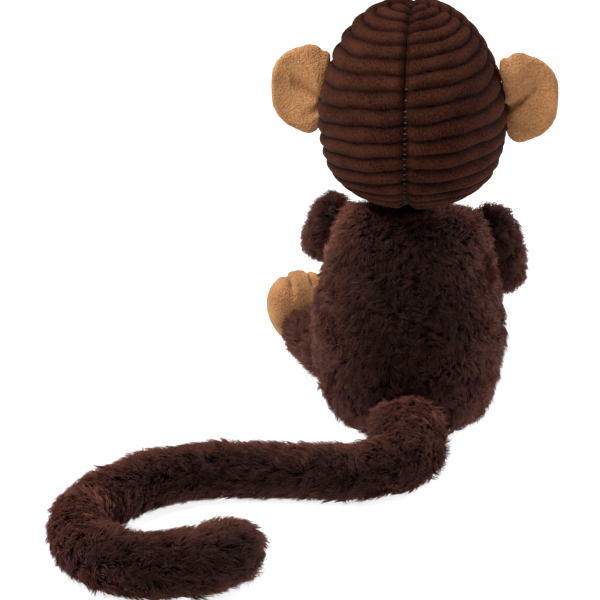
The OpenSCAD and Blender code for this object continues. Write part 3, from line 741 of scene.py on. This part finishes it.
def head_panel(name, cuts, slope, thick, node):
    """Cuts a panel out of the ball, raises its ribs, sinks its edges into the seams, and gives it
    thickness. A panel without a slope has no ribs."""
    panel = copy_piece(ball, name)
    for at, way in cuts:
        cut_off(panel, at, way)
    co = points_of(panel)
    unit = unit_rows(co)
    seam_wide, seam_deep, cloth_in = 0.0028, 0.0016, 0.0006
    edge = np.full(len(co), 1.0)
    for at, way in cuts:
        away = np.abs((unit - np.array(at)) @ np.array(way)) * head_x
        edge = np.minimum(edge, away)
    sink = np.exp(-(edge / seam_wide) ** 2)
    ridge = np.zeros(len(co))
    shape = head_shape(unit)
    if slope is not None:
        part = rib_row(unit, slope) % 1.0
        ridge = np.sin(np.pi * part ** 0.88) ** 0.62
        ridge = ridge * (1 - 0.55 * sink)
    out = unit_rows(unit / np.array([head_x, head_y, head_z]))
    shape = shape + out * (ridge * rib_high - sink * seam_deep - cloth_in)[:, None]
    set_points(panel, shape)
    # The rib height is stored for the material, which paints shade into the grooves by it
    if slope is not None:
        mark = panel.data.attributes.new("ridge", "FLOAT", "POINT")
        mark.data.foreach_set("value", ridge.astype(np.float32))
        uv = panel.data.uv_layers.new(name="cloth")
        loop = np.empty(len(panel.data.loops), int)
        panel.data.loops.foreach_get("vertex_index", loop)
        around = np.arctan2(unit[:, 0], unit[:, 1]) * np.cos(np.arcsin(unit[:, 2])) * head_x
        flat = np.stack([around, rib_row(unit, slope) * rib_pitch], 1)
        uv.data.foreach_set("uv", flat[loop].ravel())
        panel.data.materials.append(brown_cord)
    alone(panel)
    bpy.ops.object.shade_smooth()
    wall = panel.modifiers.new("cloth", "SOLIDIFY")
    wall.thickness = thick
    wall.offset = -1
    bpy.ops.object.modifier_apply(modifier=wall.name)
    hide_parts(*node)
    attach(panel, "head")
    return panel


behind = Vector((math.sin(side_seam), -math.cos(side_seam), 0))
middle = (0, 0, 0)
face_at = (0, face_plane / head_y, 0)
for side, sign, slope in (("left", 1, slope_left), ("right", -1, slope_right)):
    seam = Vector((behind.x * sign, behind.y, 0))
    centre = (middle, (-sign, 0, 0))
    head_panel("head_back_%s_cord" % side, [centre, (middle, tuple(seam))],
               slope, corduroy_thick, ["head_back_" + side])
    filling = ["head_stuffing"] if side == "left" else []
    head_panel("head_side_%s_cord" % side, [centre, (middle, tuple(-seam)), (face_at, (0, -1, 0))],
               slope, corduroy_thick, ["head_side_" + side] + filling)


# ---- Face ----
# A panel of short tan pile, with a padded muzzle sewn on, a stitched nose and mouth, and two
# glossy safety eyes locked from behind.

tan_pile, nodes, links, shader = new_material("tan_short_pile", 0.85)
set_sheen(shader, 0.15, 0.3, 0.4, (1.0, 0.68, 0.42))
place = nodes.new("ShaderNodeTexCoord")
grain = nodes.new("ShaderNodeTexNoise")
grain.inputs["Scale"].default_value = 900
grain.inputs["Detail"].default_value = 3
loops = nodes.new("ShaderNodeTexVoronoi")
loops.inputs["Scale"].default_value = 750
for texture in (grain, loops):
    links.new(place.outputs["Object"], texture.inputs["Vector"])
faded = add_mottle(nodes, links, grain.outputs["Fac"], 0.6, 60, 3, 0.4)
tan = colour_ramp(nodes, links, faded, 0.34, (0.26, 0.105, 0.037), 0.66, (0.53, 0.265, 0.110))
links.new(tan, shader.inputs["Base Color"])
loop_high = nodes.new("ShaderNodeMath")
loop_high.operation = "SUBTRACT"
links.new(grain.outputs["Fac"], loop_high.inputs[0])
links.new(loops.outputs["Distance"], loop_high.inputs[1])
add_bump(nodes, links, shader, loop_high.outputs["Value"], 0.6, 0.0007)

face_thick = 0.0022
face = head_panel("face_pile", [(face_at, (0, 1, 0))], None, face_thick, ["face_panel"])
face.data.materials.append(tan_pile)
bpy.data.objects.remove(ball)


def stuff(piece, pressure, cap):
    """Blows a sewn skin up with its filling: cloth under pressure, in which no point travels
    further than the cap."""
    before = points_of(piece)
    cloth = piece.modifiers.new("filling", "CLOTH")
    cloth.settings.quality = 5
    cloth.settings.use_pressure = True
    cloth.settings.uniform_pressure_force = pressure
    cloth.settings.effector_weights.gravity = 0
    steps = 20
    for step in range(1, steps + 1):
        bpy.context.scene.frame_set(step)
    grown = piece.evaluated_get(bpy.context.evaluated_depsgraph_get())
    after = points_of(grown)
    piece.modifiers.remove(cloth)
    bpy.context.scene.frame_set(1)
    move = after - before
    far = np.linalg.norm(move, axis=1, keepdims=True)
    set_points(piece, before + move * np.minimum(1, cap / np.maximum(far, 1e-9)))
    alone(piece)
    finer = piece.modifiers.new("finer", "SUBSURF")
    finer.levels = finer.render_levels = 1
    bpy.ops.object.modifier_apply(modifier=finer.name)
    bpy.ops.object.shade_smooth()


muzzle = copy_nodes("muzzle_pile", "muzzle")
wrap(muzzle)
remesh(muzzle, 0.002)
stuff(muzzle, 4, 0.0015)
muzzle.data.materials.append(tan_pile)
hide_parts("muzzle", "muzzle_stuffing")
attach(muzzle, "head")


# ---- Ears ----
# Two layers of the short tan pile, turned and lightly filled, with a dimple folded in where each
# is sewn to the head.

ear_wide, ear_tall = 0.031, 0.0305
hollow_deep, fold_deep, fold_thick = 0.0034, 0.0052, 0.0008
rim_out, rim_tall, ear_drop = 0.0016, 0.0018, 0.0008

for side, sign in (("left", 1), ("right", -1)):
    ear = copy_nodes("ear_%s_pile" % side, "ear_%s_back" % side, "ear_%s_front" % side)
    wrap(ear)
    remesh(ear, 0.0022)
    soften(ear, 14)
    stuff(ear, 4, 0.0022)
    ear_low, ear_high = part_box("ear_%s_back" % side)
    ear_mid_z = (ear_low.z + ear_high.z) / 2
    co = points_of(ear)
    out = (co[:, 0] * sign - head_x) / ear_wide
    up = (co[:, 2] - ear_mid_z) / ear_tall
    layer = np.where(co[:, 1] > ear_low.y, 1.0, -1.0)
    # The ear narrows at its seam
    co[:, 2] -= (co[:, 2] - ear_mid_z) * 0.2 * np.clip(1 - out / 0.3, 0, 1) ** 2
    # Its middle lies lower than its rim, and a long and a short fold run out from the seam
    hollow = np.clip(1 - ((out - 0.5) / 0.42) ** 2 - (up / 0.72) ** 2, 0, 1)
    fold = np.exp(-((up - 0.75 * out + 0.28) / 0.13) ** 2) * np.clip(1 - out / 0.6, 0, 1) ** 0.6
    short_fold = np.exp(-((up + 0.45 * out + 0.40) / 0.11) ** 2) * np.clip(1 - out / 0.4, 0, 1)
    fold = fold + 0.6 * short_fold
    co[:, 1] -= hollow_deep * hollow + fold_deep * fold + layer * fold_thick * fold
    co[:, 0] += sign * rim_out * np.clip(out, 0, 1)
    co[:, 2] += rim_tall * up - ear_drop
    set_points(ear, co)
    ear.data.materials.append(tan_pile)
    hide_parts("ear_%s_back" % side, "ear_%s_front" % side)
    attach(ear, "ear_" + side)


# ---- Hands and feet ----
# Mittens and soles of the short tan pile, filled firmly. Two stitches pinch each foot's upper edge
# into three toes.

toe_gap = 0.0075
toe_pinch, pinch_wide = 0.0029, 0.0019
pucker_high, pucker_wide, pucker_step = 0.00025, 0.006, 0.0007
toe_thread_thick, toe_thread_lift = 0.0003, 0.0002


def touch(piece, at, way, lift):
    """Where a line from outside meets a piece's skin, lifted off it a little."""
    bpy.context.view_layer.update()
    hit, spot, normal, _ = piece.ray_cast(Vector(at), Vector(way))
    return spot + normal * lift if hit else None


def sew(name, runs, radius, material, slot, body, *nodes):
    """Threads that follow runs of points, as one piece."""
    threads = []
    for run in runs:
        line = bpy.data.curves.new(name, "CURVE")
        line.dimensions = "3D"
        line.bevel_depth = radius
        line.bevel_resolution = 2
        line.use_fill_caps = True
        spline = line.splines.new("POLY")
        spline.points.add(len(run) - 1)
        for point, at in zip(spline.points, run):
            point.co = (*at, 1)
        thread = bpy.data.objects.new(name, line)
        bpy.context.collection.objects.link(thread)
        alone(thread)
        bpy.ops.object.convert(target="MESH")
        threads.append(bpy.context.object)
    alone(threads[0])
    for thread in threads:
        thread.select_set(True)
    if len(threads) > 1:
        bpy.ops.object.join()
    piece = bpy.context.object
    piece.name = piece.data.name = name
    piece.data.materials.clear()
    piece.data.materials.append(material)
    bpy.ops.object.shade_smooth()
    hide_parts(*nodes)
    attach(piece, body)
    return piece


def thread_material(name, colour):
    """Twisted polyester thread, with painted shade between its plies."""
    material, nodes, links, shader = new_material(name, 0.5)
    place = nodes.new("ShaderNodeTexCoord")
    ply = nodes.new("ShaderNodeTexWave")
    ply.bands_direction = "DIAGONAL"
    ply.inputs["Scale"].default_value = 900
    links.new(place.outputs["Object"], ply.inputs["Vector"])
    # The thread is painted half as light between its plies: painted shade
    painted_ply_shade = [c * 0.5 for c in colour]
    shade = colour_ramp(nodes, links, ply.outputs["Fac"], 0, painted_ply_shade, 1, colour)
    links.new(shade, shader.inputs["Base Color"])
    add_bump(nodes, links, shader, ply.outputs["Fac"], 0.6, 0.0002)
    return material


tan_thread = thread_material("tan_thread", (0.34, 0.17, 0.075))
dark_thread = thread_material("dark_thread", (0.028, 0.012, 0.008))

for side in ("left", "right"):
    hand = copy_nodes("hand_%s_pile" % side, "hand_" + side)
    wrap(hand)
    remesh(hand, 0.0025)
    stuff(hand, 4, 0.0015)
    hand.data.materials.append(tan_pile)
    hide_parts("hand_" + side)
    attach(hand, "arm_" + side)

    foot = copy_nodes("foot_%s_pile" % side, "foot_%s_upper" % side, "foot_%s_sole" % side)
    wrap(foot)
    remesh(foot, 0.002)
    soften(foot, 6)
    stuff(foot, 4, 0.0018)
    axis = joint_axis["hip_" + side]
    foot_way = np.array((axis.y, -axis.x, 0))
    foot_across = np.array((-foot_way[1], foot_way[0], 0))
    low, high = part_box("foot_%s_sole" % side)
    back_low, back_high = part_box("foot_%s_upper" % side)
    middle = (np.minimum(low, back_low) + np.maximum(high, back_high)) / 2
    toe_top = high.z
    # The stitches pinch the cloth into three toes, and it puckers beside them
    co, no = points_of(foot), normals_of(foot)
    across = (co - middle) @ foot_across
    near_top = np.clip((co[:, 2] - (toe_top - 0.019)) / 0.012, 0, 1)
    pinch = sum(np.exp(-((across - at) / pinch_wide) ** 2) for at in (-toe_gap, toe_gap))
    pucker = sum(np.exp(-((across - at) / pucker_wide) ** 2) for at in (-toe_gap, toe_gap))
    ripple = np.sin(across / pucker_step) * pucker_high * pucker * near_top
    set_points(foot, co - no * (toe_pinch * pinch * near_top ** 1.3 + ripple)[:, None])
    foot.data.materials.append(tan_pile)
    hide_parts("foot_%s_upper" % side, "foot_%s_sole" % side, "foot_%s_stuffing" % side)
    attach(foot, "leg_" + side)
    runs = []
    for at in (-toe_gap, toe_gap):
        run = []
        for k in range(-6, 7):
            turn = math.radians(k * 12)
            aim = middle + foot_across * at + np.array((0, 0, toe_top - middle[2] - 0.010))
            way = foot_way * math.sin(turn) + np.array((0, 0, 1)) * math.cos(turn)
            spot = touch(foot, aim + way * 0.05, -way, toe_thread_lift)
            if spot is not None:
                run.append(spot)
        runs.append(run)
    sew("toe_threads_" + side, runs, toe_thread_thick, tan_thread, "tan_thread", "leg_" + side,
        "toe_stitches_" + side)


# ---- Nose, mouth and eyes ----
# The nose is satin stitch, the mouth one line of backstitch, and the eyes are glossy plastic domes
# whose stems are held behind the face by lock washers.

before_face = -0.2
into_face = (0, 1, 0)
nose_thread_thick, mouth_thread_thick = 0.00048, 0.0006

# The nose: upright stitches side by side, every other one a little longer, over a raised middle
nose_low, nose_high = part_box("nose_stitching")
nose_mid_z = (nose_low.z + nose_high.z) / 2
nose_half_wide, nose_half_tall = (nose_high.x - nose_low.x) / 2, (nose_high.z - nose_low.z) / 2
runs = []
for k in range(-9, 10):
    share = k / 9.6
    tall = nose_half_tall * math.sqrt(1 - share ** 2) * (1 + 0.1 * (k % 2))
    run = []
    for m in range(-4, 5):
        lift = 0.0003 + 0.0006 * (1 - (m / 4) ** 2)
        at = (share * nose_half_wide, before_face, nose_mid_z + tall * m / 4)
        spot = touch(muzzle, at, into_face, lift)
        if spot is not None:
            run.append(spot)
    runs.append(run)
sew("nose_threads", runs, nose_thread_thick, dark_thread, "dark_thread", "head", "nose_stitching")

# The mouth: a curved row of stitches, and one long stitch from its middle up to the nose
mouth_low, mouth_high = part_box("mouth_stitching")
mouth_half = (mouth_high.x - mouth_low.x) / 2
mouth_curve = 0.0042
runs = []
stitches = 9
for k in range(stitches):
    run = []
    for m in range(5):
        share = -1 + 2 * (k + 0.06 + 0.88 * m / 4) / stitches
        lift = 0.0004 + 0.0004 * math.sin(math.pi * m / 4)
        at = (share * mouth_half, before_face, mouth_low.z + 0.0006 + mouth_curve * share ** 2)
        spot = touch(muzzle, at, into_face, lift)
        if spot is not None:
            run.append(spot)
    runs.append(run)
run = []
for m in range(9):
    at = (0, before_face, mouth_low.z + 0.001 + (nose_low.z - mouth_low.z) * m / 8)
    spot = touch(muzzle, at, into_face, 0.0004)
    if spot is not None:
        run.append(spot)
runs.append(run)
sew("mouth_threads", runs, mouth_thread_thick, dark_thread, "dark_thread", "head",
    "mouth_stitching")

eye_plastic, nodes, links, shader = new_material("eye_plastic", 0.06)
shader.inputs["Base Color"].default_value = (0.012, 0.006, 0.004, 1)
shader.inputs["Coat Weight"].default_value = 0.6
shader.inputs["Coat Roughness"].default_value = 0.03
place = nodes.new("ShaderNodeTexCoord")
scuff = nodes.new("ShaderNodeTexNoise")
scuff.inputs["Scale"].default_value = 300
scuff.inputs["Detail"].default_value = 4
links.new(place.outputs["Object"], scuff.inputs["Vector"])
gloss = nodes.new("ShaderNodeMapRange")
gloss.inputs["To Min"].default_value = 0.04
gloss.inputs["To Max"].default_value = 0.13
links.new(scuff.outputs["Fac"], gloss.inputs["Value"])
links.new(gloss.outputs["Result"], shader.inputs["Roughness"])
washer_plastic, nodes, links, shader = new_material("washer_plastic", 0.4)
shader.inputs["Base Color"].default_value = (0.75, 0.74, 0.70, 1)
place = nodes.new("ShaderNodeTexCoord")
mould = nodes.new("ShaderNodeTexNoise")
mould.inputs["Scale"].default_value = 500
links.new(place.outputs["Object"], mould.inputs["Vector"])
add_bump(nodes, links, shader, mould.outputs["Fac"], 0.2, 0.0002)


def refinish(node, material):
    """Gives a CAD piece its finished material."""
    piece = frame["nodes"][node]
    for slot in piece.material_slots:
        slot.material = material
    if not piece.material_slots:
        piece.data.materials.append(material)


for side in ("left", "right"):
    refinish("eye_" + side, eye_plastic)
    refinish("eye_washer_" + side, washer_plastic)


# ---- Hand stitching ----
# Strong dark thread. It is drawn round the neck, it closes the back where the filling went in, and
# it shows as small knots, a few millimetres apart, along the head's centre seam.

refinish("neck_thread", dark_thread)

# The closing stitches lie on the cloth of the back, with the pile brushed over them
under_pile = 0.0042
closing = copy_nodes("closing_threads", "closing_stitches")
set_points(closing, points_of(closing) - np.array([0, under_pile, 0]))
closing.data.materials.append(dark_thread)
bpy.ops.object.shade_smooth()
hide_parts("closing_stitches")
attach(closing, "torso")

knot_count, knot_first, knot_step = 42, math.radians(-52), math.radians(3.3)
knot_size, knot_long, knot_flat = 0.0007, 1.5, 0.8
back_cord = bpy.data.objects["head_back_left_cord"]
knots = []
for k in range(knot_count):
    turn = knot_first + k * knot_step
    way = Vector((0, math.cos(turn), math.sin(turn)))
    hub = Vector((0.0003 if k % 2 else -0.0003, 0, head_mid_z))
    spot = touch(back_cord, hub + way * 0.15 + Vector((0.0008, 0, 0)), -way, 0.0002)
    if spot is None:
        continue
    # Every other knot lies on the other side of the seam
    over_seam = Vector((0.0008 if k % 2 else 0.0, 0, 0))
    bpy.ops.object.select_all(action="DESELECT")
    bpy.ops.mesh.primitive_ico_sphere_add(subdivisions=2, radius=knot_size,
                                          location=spot - over_seam)
    knot = bpy.context.object
    knot.scale = (knot_long, knot_flat, knot_flat)
    bpy.ops.object.transform_apply(location=True, rotation=True, scale=True)
    knots.append(knot)
alone(knots[0])
for knot in knots:
    knot.select_set(True)
bpy.ops.object.join()
knots = bpy.context.object
knots.name = knots.data.name = "centre_seam_knots"
knots.data.materials.append(dark_thread)
bpy.ops.object.shade_smooth()
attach(knots, "head")


# ---- What the finished toy measures ----
# The finished toy's bounds are measured.

low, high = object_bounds()
